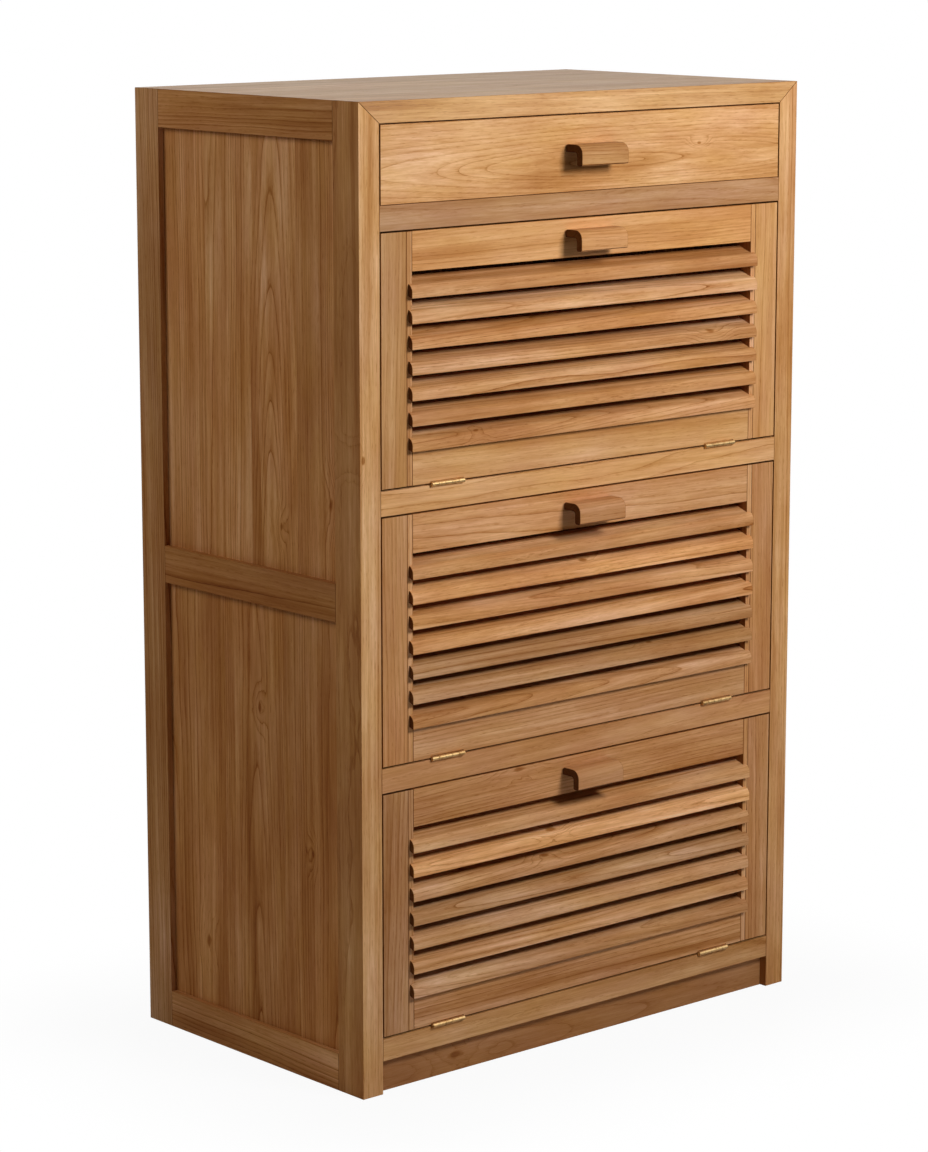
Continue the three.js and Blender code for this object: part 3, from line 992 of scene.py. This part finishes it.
@dataclass
class Studio:
    """Camera, lamps, world and floor.

    Attributes:
        camera_place: Where the camera stands.
        target: The point that it looks at.
        lens: Focal length for a long side of 36 mm.
        lamps: The main lamp high in front, a weak one at the left, and one behind at the right.
        ambient: Level of the light from all round.
        floor_size: Side of the floor.
        floor_tone: The floor's reflectance.
        floor_white: Share of plain white in the floor as the camera sees it near the cabinet.
        footprint: Half the width and half the depth from which the fade is measured.
        fade: Distances between which the floor goes over into the white ground.
    """

    camera_place: Place = (-2.871, -3.238, 1.368)
    target: Place = (-0.0123, 0.014, 0.5472)
    lens: float = 111.4
    lamps: tuple[Lamp, ...] = (
        Lamp("key", (0.3, -1.76, 1.66), (0.0, -0.2, 1.1), 27.0, 0.62),
        Lamp("fill", (-2.2, 0.8, 2.2), (-0.35, 0.0, 1.0), 19.0, 1.2),
        Lamp("rear", (2.3, 2.2, 0.75), (0.0, 0.0, 0.6), 55.0, 0.8),
    )
    ambient: float = 0.03
    floor_size: float = 16.0
    floor_tone: float = 0.7
    floor_white: float = 0.94
    footprint: Point = (0.34, 0.2)
    fade: Point = (0.0, 0.34)

    def build(self) -> None:
        """Sets up the whole studio."""
        bpy.context.scene.view_settings.view_transform = "Standard"
        data = bpy.data.cameras.new("camera")
        data.lens = self.lens
        bpy.context.scene.camera = aimed("camera", data, self.camera_place, self.target)
        for lamp in self.lamps:
            lamp.build()
        self.world()
        self.floor()

    def world(self) -> None:
        """Makes an even light all round, in front of plain white."""
        graph = NodeGraph(bpy.data.worlds.new("studio"))
        path = graph.add("ShaderNodeLightPath", {})
        rays = (path.outputs[f"Is {kind} Ray"] for kind in ("Camera", "Glossy", "Transmission"))
        seen = functools.reduce(functools.partial(graph.math, "MAXIMUM"), rays)
        light, ground = (
            graph.result("ShaderNodeBackground", {"Color": WHITE, "Strength": strength})
            for strength in (self.ambient, 1.0))
        bpy.context.scene.world = graph.close(graph.mix(seen, light, ground))

    def floor(self) -> None:
        """Lays a pale floor that takes the shadow and fades into the white ground."""
        mesh = bmesh.new()
        bmesh.ops.create_grid(mesh, x_segments=1, y_segments=1, size=self.floor_size / 2)
        data = bpy.data.meshes.new("floor")
        mesh.to_mesh(data)
        mesh.free()
        graph = NodeGraph(bpy.data.materials.new("floor"))
        beyond = [
            graph.math("MAXIMUM", graph.math("SUBTRACT", graph.math("ABSOLUTE", place), half), 0.0)
            for place, half in zip(graph.split(graph.place()), self.footprint)]
        distance = graph.math("SQRT", graph.total(*((part, part) for part in beyond)))
        white = graph.span(distance, *self.fade, self.floor_white, 1.0)
        path = graph.add("ShaderNodeLightPath", {})
        shown = graph.product(white, path.outputs["Is Camera Ray"])
        tone = self.floor_tone
        paint = graph.result("ShaderNodeBsdfDiffuse", {"Color": (tone, tone, tone, 1.0)})
        ground = graph.result("ShaderNodeEmission", {"Color": WHITE, "Strength": 1.0})
        data.materials.append(graph.close(graph.mix(shown, paint, ground)))
        floor = bpy.data.objects.new("floor", data)
        bpy.context.scene.collection.objects.link(floor)


@dataclass
class SideFrame:
    """Frame and two loose panels of one side.

    Attributes:
        side: left or right.
        stile: How the front stile was cut, which also shows on the front.
        arris: Easing of the joints between its boards.
        cuts: How the other boards were cut.
    """

    side: str
    stile: Cut
    arris: float = 0.25 * MM
    cuts: dict[str, Cut] = field(default_factory=lambda: {
        "back_stile": Cut(Axis.UPRIGHT, Axis.ACROSS, lightness=-0.24, depth=-0.08),
        "top_rail": Cut(Axis.DEEP, Axis.ACROSS, depth=0.1),
        "middle_rail": Cut(Axis.DEEP, Axis.ACROSS, lightness=-0.12, depth=0.24),
        "bottom_rail": Cut(Axis.DEEP, Axis.ACROSS, depth=0.1),
        "upper_panel": Cut(
            Axis.UPRIGHT, Axis.ACROSS,
            (Sawing.QUARTER, Pith(0.004, 0.032, 0.004, 0.055, -0.03), Sawing.RIFT, Sawing.QUARTER),
            0.05, 0.04,
            knots={0: Knot(-0.163, -0.146, 3 * MM), 1: Knot(-0.2, -0.055, 1.8 * MM)}),
        "lower_panel": Cut(
            Axis.UPRIGHT, Axis.ACROSS,
            (Sawing.RIFT, Pith(-0.004, 0.03, -0.01, 0.03, 0.05), Sawing.RIFT), 0.0, 0.16,
            knots={
                0: Knot(-0.03, -0.109, 2 * MM), 1: Knot(0.129, -0.01, 2.2 * MM),
                2: Knot(-0.178, 0.095, 3 * MM)}),
    })

    def build(self) -> None:
        """Dresses the seven boards."""
        dress_board(f"{self.side}_front_stile", "carcass", "side_teak", FRONT_TEAK, self.stile, self.arris)
        for board, cut in self.cuts.items():
            dress_board(f"{self.side}_{board}", "carcass", "side_teak", SHADED_SIDE_TEAK, cut, self.arris)


@dataclass
class Carcass:
    """Top, shelves with their front rails, kick board and back.

    Attributes:
        ruddy: The boards whose wood is redder.
        rails: How each board that shows in front was cut.
        top: How the top was cut.
        back: How the back was cut.
    """

    ruddy: tuple[str, ...] = ("drawer_shelf", "shelf_2", "kick_board")
    rails: dict[str, Cut] = field(default_factory=lambda: {
        "drawer_shelf": Cut.rail(-0.27, 0.1, 0.8, sawing=(Sawing.QUARTER,)),
        "shelf_1": Cut.rail(0.12, 0.04, 0.7),
        "shelf_2": Cut.rail(-0.05, 0.1, 0.7),
        "bottom_shelf": Cut.rail(-0.05, 0.1, 0.8),
        "kick_board": Cut.rail(-0.27, 0.18, 0.6, sawing=(Sawing.FLAT,), knots={0: Knot(-0.2, 0.0, 4 * MM)}),
    })
    top: Cut = Cut(Axis.ACROSS, Axis.UPRIGHT, (Sawing.FLAT, Sawing.RIFT) * 2, flank=(0.28, 0.02))
    back: Cut = Cut(Axis.UPRIGHT, Axis.DEEP, (Sawing.FLAT, Sawing.RIFT) * 2, variation=0.04)

    def build(self) -> None:
        """Dresses all of them."""
        for node, cut in self.rails.items():
            finish = RUDDY_TEAK if node in self.ruddy else FRONT_TEAK
            dress_board(node, "carcass", "front_teak", finish, cut)
        dress_board("top_board", "carcass", "top_teak", TOP_TEAK, self.top)
        dress_board("back_panel", "carcass", "inner_wood", INNER_TEAK, self.back)


@dataclass(frozen=True)
class CountersunkScrew:
    """Flat-headed brass screw whose head ends level with the surface.

    Attributes:
        radius: Radius of the head.
        depth: Depth of the cone.
        proud: How far the head stands out, so that it doesn't lie in the surface.
        slot_width: Width of the slot.
        slot_depth: Depth of the slot.
        point: Radius at the cone's bottom, as a share of the head's.
        sides: Sides of the head.
    """

    radius: float = 3.1 * MM
    depth: float = 2.0 * MM
    proud: float = 0.08 * MM
    slot_width: float = 0.9 * MM
    slot_depth: float = 0.7 * MM
    point: float = 0.45
    sides: int = 24

    def build(self, name: str, body: str, place: Vector, outward: Vector) -> None:
        """Turns the head and cuts its slot.

        Args:
            name: The piece's name.
            body: The body that it rides on.
            place: The middle of the head, in the surface.
            outward: The way that the head faces.
        """
        piece = Workpiece(name)
        mesh = piece.mesh
        bmesh.ops.create_cone(
            mesh, cap_ends=True, segments=self.sides, radius1=self.radius * self.point, radius2=self.radius,
            depth=self.depth)
        bmesh.ops.translate(mesh, verts=mesh.verts, vec=(0, 0, self.proud - self.depth / 2))
        for side in (-1, 1):
            piece.split(Vector((side * self.slot_width / 2, 0, 0)), Vector((1, 0, 0)))
        slot = [
            polygon for polygon in mesh.faces
            if polygon.normal.z > FACING and abs(polygon.calc_center_median().x) < self.slot_width / 2
        ]
        piece.pull(slot, Vector((0, 0, -self.slot_depth)))
        bmesh.ops.delete(mesh, geom=slot, context="FACES")
        turn = outward.to_track_quat("Z", "Y").to_matrix().to_4x4()
        spin = Matrix.Rotation(math.radians(zlib.crc32(name.encode()) % 180), 4, "Z")
        bmesh.ops.transform(mesh, matrix=Matrix.Translation(place) @ turn @ spin, verts=mesh.verts)
        bmesh.ops.recalc_face_normals(mesh, faces=list(mesh.faces))
        piece.set_on(body, [], "brass", BRASS)


@dataclass
class HoodHandle:
    """Hooded wooden handle, open below and at both ends.

    Attributes:
        wall: Thickness of the wood.
        radii: Rounding of the back, the front, the lip outside and inside, and the inner corner.
        end_radius: Rounding of the ends.
        end_steps: Steps of that rounding.
        rim: Width of the edges below and at the board that the painted shade leaves out.
        roof: How far below the top the painted shade inside begins.
        shade: Painted shade on its inner faces, where the hood's own shadow falls: the lightness and depth
            that they have besides.
        finish: Its finish.
        screw: One of its two screws.
        screw_spread: Distance between them.
    """

    wall: float = 9 * MM
    radii: tuple[float, float, float, float, float] = (3 * MM, 11 * MM, 2.6 * MM, 2.6 * MM, 4 * MM)
    end_radius: float = 0.9 * MM
    end_steps: int = 3
    rim: float = 1 * MM
    roof: float = 5 * MM
    shade: Point = (-0.35, 1.1)
    finish: TeakFinish = FRONT_TEAK
    screw: CountersunkScrew = CountersunkScrew()
    screw_spread: float = 44 * MM

    def build(self, node: str, body: str, cut: Cut, board_back: float) -> None:
        """Shapes the hood and sets the two screws behind the board.

        Args:
            node: The solid that it stands for.
            body: The body that it rides on.
            cut: How it was cut from its log.
            board_back: The back face of the board that it is screwed to.
        """
        low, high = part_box(node)
        seat, nose, top, tip = high.y, low.y, high.z, low.z
        inside, plate_back = top - self.wall, nose + self.wall
        corners = [
            (seat, inside), (seat, top), (nose, top), (nose, tip), (plate_back, tip), (plate_back, inside)]
        hood = Workpiece.from_section(f"{node}_hood", corners, [0.0, *self.radii], (low.x, high.x))
        hood.ease(self.end_radius, self.end_steps, in_an_end).lay_grain(cut)
        # Painted shade: the faces inside the hood are darker and deeper brown, as in its shadow.
        hood.darken(self.shade, lambda polygon: self.looks_in(polygon, low, high))
        hood.set_on(body, [node], "front_teak", self.finish)
        for index, side in enumerate((-1, 1), 1):
            place = Vector((side * self.screw_spread / 2, board_back, inside + self.wall / 2))
            self.screw.build(f"{node}_screw_{index}", body, place, Vector((0, 1, 0)))

    def looks_in(self, polygon: Face, low: Vector, high: Vector) -> bool:
        """Tells whether a face of the hood looks into it, and so gets its painted shade.

        Args:
            polygon: The face.
            low: The hood's lowest corner.
            high: Its highest corner.

        Returns:
            Whether the face lies inside and looks back or down.
        """
        centre = polygon.calc_center_median()
        within = centre.y < high.y - self.rim and low.z + self.rim < centre.z < high.z - self.roof
        return within and (polygon.normal.y > TURNING or polygon.normal.z < -TURNING)


@dataclass
class ButtHinge:
    """Brass butt hinge: two leaves with five knuckles round a pin with domed ends.

    Attributes:
        knuckles: Number of knuckles.
        radius: Radius of a knuckle.
        bore: Radius of the hole for the pin.
        pin: Radius of the pin.
        dome: Outline of a pin's head: place from the leaf's end, and share of the pin's radius.
        gap: Clearance between knuckles.
        leaf: Thickness of a leaf.
        leaf_gap: Clearance between the leaves.
        chamfer: Easing of the knuckles' ends.
        arris: Easing of the leaves.
        shortest: Length from which an edge of a leaf is eased.
        steps: Steps round the pin.
        screw: One of the screws.
        screws: Places of the screws along the hinge, as shares of its length.
        screw_back: How far behind the middle of a leaf they are.
    """

    knuckles: int = 5
    radius: float = 2.75 * MM
    bore: float = 1.5 * MM
    pin: float = 1.2 * MM
    dome: tuple[Point, ...] = ((-0.6 * MM, 0.0), (-0.5 * MM, 0.55), (-0.25 * MM, 1.0))
    gap: float = 0.3 * MM
    leaf: float = 1.0 * MM
    leaf_gap: float = 0.3 * MM
    chamfer: float = 0.25 * MM
    arris: float = 0.15 * MM
    shortest: float = 1.5 * MM
    steps: int = 32
    screw: CountersunkScrew = CountersunkScrew(2.6 * MM, 0.9 * MM, 0.06 * MM, slot_depth=0.4 * MM)
    screws: Place = (0.16, 0.5, 0.84)
    screw_back: float = 1.5 * MM

    def build(self, label: str, door: str) -> None:
        """Makes the leaf on the shelf with its pin, and the leaf on the door.

        Args:
            label: Start of the names of the two solids.
            door: The body that the upper leaf rides on.
        """
        low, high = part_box(f"{label}_door_leaf")
        pivot = Vector((0, low.y + self.radius, low.z + self.radius))
        for part, body, side in (("shelf", "carcass", -1), ("door", door, 1)):
            self.leaf_piece(f"{label}_{part}_leaf", body, (low.x, high.x), pivot, high.y, side)

    def leaf_piece(self, node: str, body: str, ends: Point, pivot: Vector, back: float, side: int) -> None:
        """Makes one leaf with its own knuckles and screws.

        Args:
            node: The solid that it stands for.
            body: The body that it rides on.
            ends: Lowest and highest x.
            pivot: A point on the pin's line.
            back: The back edge of the leaf.
            side: -1 for the leaf below the pin, which holds it, and 1 for the one above.
        """
        length = ends[1] - ends[0]
        pitch = length / self.knuckles
        inner = pivot.z + side * self.leaf_gap / 2
        heights = tuple(sorted((inner, inner + side * self.leaf)))
        front = pivot.y + self.radius + self.gap
        wall = (self.bore + self.radius) / 2
        knuckle = ((0.0, self.bore), (0.0, self.radius - self.chamfer), (self.chamfer, self.radius))
        piece = Workpiece(f"{node}_brass")
        piece.add_plate(ends, (front, back), heights)
        for index in range(max(0, side), self.knuckles, 2):
            start = ends[0] + index * pitch + self.gap / 2
            own = (start, start + pitch - self.gap)
            piece.add_plate(own, (pivot.y + wall, front + self.gap), heights)
            self.turned(piece, own, knuckle, pivot)
        piece.ease(self.arris, 1, lambda edge: edge.calc_length() > self.shortest)
        if side < 0:
            self.turned(piece, ends, [(place, self.pin * share) for place, share in self.dome], pivot)
        piece.set_on(body, [node], "brass", BRASS)
        middle = (front + back) / 2 + self.screw_back
        for index, share in enumerate(self.screws, 1):
            place = Vector((ends[0] + share * length, middle, inner))
            self.screw.build(f"{node}_screw_{index}", body, place, Vector((0, 0, -side)))

    def turned(self, piece: Workpiece, ends: Point, outline: Sequence[Point], pivot: Vector) -> None:
        """Spins an outline round the pin's line. One that starts off the line closes on itself.

        Args:
            piece: The piece that it is added to.
            ends: Two places along the line, at which the outline is the same.
            outline: Places from such an end inwards, and distances from the line.
            pivot: A point on the line.
        """
        mesh = piece.mesh
        section = [(ends[0] + place, distance) for place, distance in outline]
        section += [(ends[1] - place, distance) for place, distance in reversed(outline)]
        verts = [mesh.verts.new((x, pivot.y, pivot.z + distance)) for x, distance in section]
        edges = [mesh.edges.new(pair) for pair in zip(verts, verts[1:])]
        if outline[0][1] > 0:
            edges.append(mesh.edges.new((verts[-1], verts[0])))
        before = set(mesh.faces)
        bmesh.ops.spin(
            mesh, geom=[*verts, *edges], cent=pivot, axis=Axis.ACROSS.vector, angle=2 * math.pi,
            steps=self.steps, use_merge=True)
        corners = {vert for polygon in mesh.faces if polygon not in before for vert in polygon.verts}
        bmesh.ops.remove_doubles(mesh, verts=list(corners), dist=MERGE)
        made = [polygon for polygon in mesh.faces if polygon not in before]
        bmesh.ops.recalc_face_normals(mesh, faces=made)


@dataclass
class Drawer:
    """Drawer box with its front and handle.

    Attributes:
        front: How the front was cut.
        handle: How the handle was cut.
        arris: Easing of the front's edges.
        box: How the boards of the box were cut.
    """

    front: Cut = Cut.rail(
        0.04, 0.0, 0.8, sawing=(Pith(-0.012, -0.002, 0.0, -0.07, 0.15),),
        knots={0: Knot(0.181, 0.003, 1.4 * MM)})
    handle: Cut = Cut.rail(-0.13, 0.2, 0.8)
    arris: float = 0.4 * MM
    box: dict[str, Cut] = field(default_factory=lambda: {
        "left_side": Cut(Axis.DEEP, Axis.ACROSS),
        "right_side": Cut(Axis.DEEP, Axis.ACROSS),
        "back": Cut.rail(),
        "bottom": Cut(Axis.ACROSS, Axis.UPRIGHT, (Sawing.FLAT,) * 3, variation=0.04),
    })

    def build(self) -> None:
        """Dresses the box and shapes the handle."""
        dress_board("drawer_front", "drawer", "front_teak", FRONT_TEAK, self.front, self.arris)
        for board, cut in self.box.items():
            dress_board(f"drawer_{board}", "drawer", "inner_wood", INNER_TEAK, cut)
        HoodHandle().build("drawer_handle", "drawer", self.handle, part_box("drawer_front")[1].y)


@dataclass
class LouvredDoor:
    """Flap with two stiles, two rails, seven slats housed in two strips, handle, hinges and stay.

    Attributes:
        number: 1 for the highest door.
        tones: Lightness and depth of each slat, from the lowest.
        stile_tones: Lightness and depth of the left and the right stile.
        rail_tones: Lightness and depth of the top and the bottom rail.
        strip_shift: What the strips' tone has beside that of the stile at their side.
        handle_shift: What the handle's tone has beside the top rail's.
        figure: Strength of the figure in its stiles and rails.
        handle_figure: Strength of the figure in its handle.
        flank: Painted shade on the side faces of its stiles, rails and strips, in the gaps and between the
            slats: the lightness and depth that they have besides.
        shade: Painted shade on the slats' undersides, deep in the gaps between them: the lightness and
            depth that they have besides.
        finish: Finish of its stiles, its rails and its handle.
        knots: The knot in a slat, by the slat's number from the lowest.
        sawing: How the slats were sawn, in turn.
        slope: How steeply the slats rise to the back.
        thickness: Thickness of a slat.
        rounding: Rounding of a slat: lower front, lower back, upper back, upper front.
        slat_end: Rounding of its ends.
        lap: Length of slat over each strip.
        strip: Width of a strip.
        strip_arris: Easing of a strip's edges.
        glue_line: Hairline between boards.
        drop: Lowest nose below the top of the bottom rail.
        reach: How far the slats go back from the door's front.
        stay_arris: Easing of the stay's edges.
        foot: How far the stay's foot stands out behind the door.
        foot_middle: The middle of the foot below its top.
        screw: One of the two screws in the foot.
        screw_spread: Distance between them.
    """

    number: int
    tones: Sequence[Point]
    stile_tones: tuple[Point, Point]
    rail_tones: tuple[Point, Point]
    strip_shift: Point = (0.1, -0.06)
    handle_shift: Point = (-0.13, 0.02)
    figure: float = 0.7
    handle_figure: float = 0.7
    flank: Point = (-0.2, 0.45)
    shade: Point = (-0.1, 0.8)
    finish: TeakFinish = FRONT_TEAK
    knots: dict[int, Knot] = field(default_factory=dict)
    sawing: tuple[Sawing, ...] = (Sawing.FLAT, Sawing.RIFT, Sawing.QUARTER, Sawing.RIFT)
    slope: float = math.radians(21)
    thickness: float = 13 * MM
    rounding: tuple[float, float, float, float] = (1.3 * MM, 1.0 * MM, 1.0 * MM, 6.2 * MM)
    slat_end: float = 0.8 * MM
    lap: float = 5.6 * MM
    strip: float = 8 * MM
    strip_arris: float = 0.4 * MM
    glue_line: float = 0.3 * MM
    drop: float = 1 * MM
    reach: float = 20 * MM
    stay_arris: float = 0.35 * MM
    foot: float = 2.8 * MM
    foot_middle: float = 11 * MM
    screw: CountersunkScrew = CountersunkScrew(2.6 * MM, 1.6 * MM)
    screw_spread: float = 23 * MM

    @property
    def label(self) -> str:
        """The door's name, which its body has too."""
        return f"door_{self.number}"

    def build(self) -> None:
        """Makes every piece of the door."""
        label = self.label
        # Painted shade: the stiles' and rails' faces in the gaps are darker and deeper brown.
        for side, tone in zip(("left", "right"), self.stile_tones):
            cut = Cut.stile(*tone, self.figure, flank=self.flank)
            dress_board(f"{label}_{side}_stile", label, "front_teak", self.finish, cut)
        for rail, tone in zip(("top", "bottom"), self.rail_tones):
            cut = Cut.rail(*tone, self.figure, flank=self.flank)
            dress_board(f"{label}_{rail}_rail", label, "front_teak", self.finish, cut)
        self.strips()
        self.slats()
        hood = Cut.rail(*shifted(self.rail_tones[0], self.handle_shift), self.handle_figure)
        board_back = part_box(f"{label}_top_rail")[1].y
        HoodHandle(finish=self.finish).build(f"{label}_handle", label, hood, board_back)
        for side in ("left", "right"):
            ButtHinge().build(f"{label}_{side}_hinge", label)
        self.stay()

    def strips(self) -> None:
        """Makes the two strips that hold the slats' ends."""
        label = self.label
        rail_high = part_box(f"{label}_top_rail")[1]
        door_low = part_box(f"{label}_left_stile")[0]
        half = rail_high.x + self.glue_line
        front, back, bottom, top = door_low.y, rail_high.y, door_low.z, rail_high.z
        corners = [(front, bottom), (back, bottom), (back, top), (front, top)]
        for (side, name), tone in zip(((-1, "left"), (1, "right")), self.stile_tones):
            ends = tuple(sorted((side * half, side * (half + self.strip - self.glue_line))))
            piece = Workpiece.from_section(f"{label}_{name}_strip", corners, [0.0] * 4, ends)
            # Painted shade: the strips' faces between the slats are darker and deeper brown.
            cut = Cut.stile(*shifted(tone, self.strip_shift), sawing=(Sawing.QUARTER,), flank=self.flank)
            piece.ease(self.strip_arris).lay_grain(cut)
            piece.set_on(label, [f"{label}_louvres"], "louvre_teak", LOUVRE_TEAK)

    def slats(self) -> None:
        """Makes the slats, each from its own piece of wood."""
        label = self.label
        rail_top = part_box(f"{label}_bottom_rail")[1].z
        rail_low, rail_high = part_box(f"{label}_top_rail")
        half = rail_high.x + self.glue_line + self.lap
        pitch = (rail_low.z - rail_top) / len(self.tones)
        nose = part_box(f"{label}_louvres")[0].y
        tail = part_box(f"{label}_left_stile")[0].y + self.reach
        upright = self.thickness / math.cos(self.slope)
        rise = (tail - nose) * math.tan(self.slope)
        face = Vector((0, -math.sin(self.slope), math.cos(self.slope)))
        for index, (lightness, depth) in enumerate(self.tones):
            number = index + 1
            bottom = rail_top - self.drop + index * pitch
            corners = [(nose, bottom), (tail, bottom + rise)]
            corners += [(y, z + upright) for y, z in reversed(corners)]
            piece = Workpiece.from_section(f"{label}_slat_{number}", corners, self.rounding, (-half, half))
            piece.ease(self.slat_end, where=in_an_end)
            sawing = (self.sawing[index % len(self.sawing)],)
            knots = {0: self.knots[number]} if number in self.knots else {}
            piece.lay_grain(Cut(Axis.ACROSS, Axis.UPRIGHT, sawing, lightness, depth, knots=knots), face)
            # Painted shade: the slats' undersides are darker and redder, as in the gaps' shadow.
            piece.darken(self.shade, lambda polygon: polygon.normal.dot(face) < -FACING)
            piece.set_on(label, [f"{label}_louvres"], "louvre_teak", LOUVRE_TEAK)

    def stay(self) -> None:
        """Dresses the brass arm that holds the open door, and screws its foot on."""
        label, node = self.label, f"{self.label}_stay"
        arm = Workpiece.from_solid(node, f"{node}_brass")
        arm.ease(self.stay_arris).set_on(label, [node], "brass", BRASS)
        low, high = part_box(node)
        foot_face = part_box(f"{label}_left_stile")[1].y + self.foot
        for index, side in enumerate((-1, 1), 1):
            height = high.z - self.foot_middle + side * self.screw_spread / 2
            place = Vector(((low.x + high.x) / 2, foot_face, height))
            self.screw.build(f"{node}_screw_{index}", label, place, Vector((0, 1, 0)))


def main() -> None:
    """Builds the cabinet piece by piece."""
    logging.basicConfig(level=logging.INFO, format="%(message)s")
    Studio().build()
    quarter = (Sawing.QUARTER,)
    # Painted shade: the front stiles' side faces, in the door gaps and on the cabinet's sides, are deeper
    # brown.
    left = Cut.stile(sawing=quarter, flank=(0.0, 0.42), knots={0: Knot(0.175, 0.0105, 1.8 * MM)})
    right = Cut.stile(0.0, 0.18, sawing=quarter, flank=(-0.1, 0.4))
    SideFrame("left", left).build()
    SideFrame("right", right).build()
    Carcass().build()
    Drawer().build()
    doors = (
        LouvredDoor(
            1,
            ((0.1, 0.08), (0.05, 0.2), (0.07, 0.08),
             (0.01, 0.08), (0.13, 0.23), (0.06, -0.08), (0.04, 0.17)),
            stile_tones=((-0.12, 0.1), (0.01, 0.14)), rail_tones=((0.17, 0.14), (0.0, 0.08)),
            knots={1: Knot(-0.178, 0.006, 1.7 * MM), 4: Knot(0.2, 0.009, 2.6 * MM)}),
        LouvredDoor(
            2,
            ((0.02, 0.05), (-0.12, 0.11), (-0.16, 0.04),
             (0.25, 0.1), (0.19, 0.08), (0.32, 0.07), (0.09, 0.12)),
            stile_tones=((-0.06, 0.14), (-0.03, 0.14)), rail_tones=((0.01, 0.1), (-0.12, -0.03)),
            figure=0.85, finish=RUDDY_TEAK,
            knots={2: Knot(0.111, -0.002, 2.0 * MM), 6: Knot(-0.002, 0.0, 2.6 * MM)}),
        LouvredDoor(
            3,
            ((-0.04, 0.09), (0.07, 0.0), (0.0, -0.07),
             (-0.1, 0.1), (0.04, 0.15), (0.33, 0.02), (0.03, 0.1)),
            stile_tones=((-0.21, 0.12), (-0.1, 0.12)), rail_tones=((-0.04, 0.1), (-0.15, 0.05)),
            figure=1.0, finish=RUDDY_TEAK,
            knots={5: Knot(-0.065, 0.002, 2.2 * MM), 6: Knot(-0.053, 0.0, 2.4 * MM)}),
    )
    for door in doors:
        door.build()


if __name__ == "__main__":
    main()
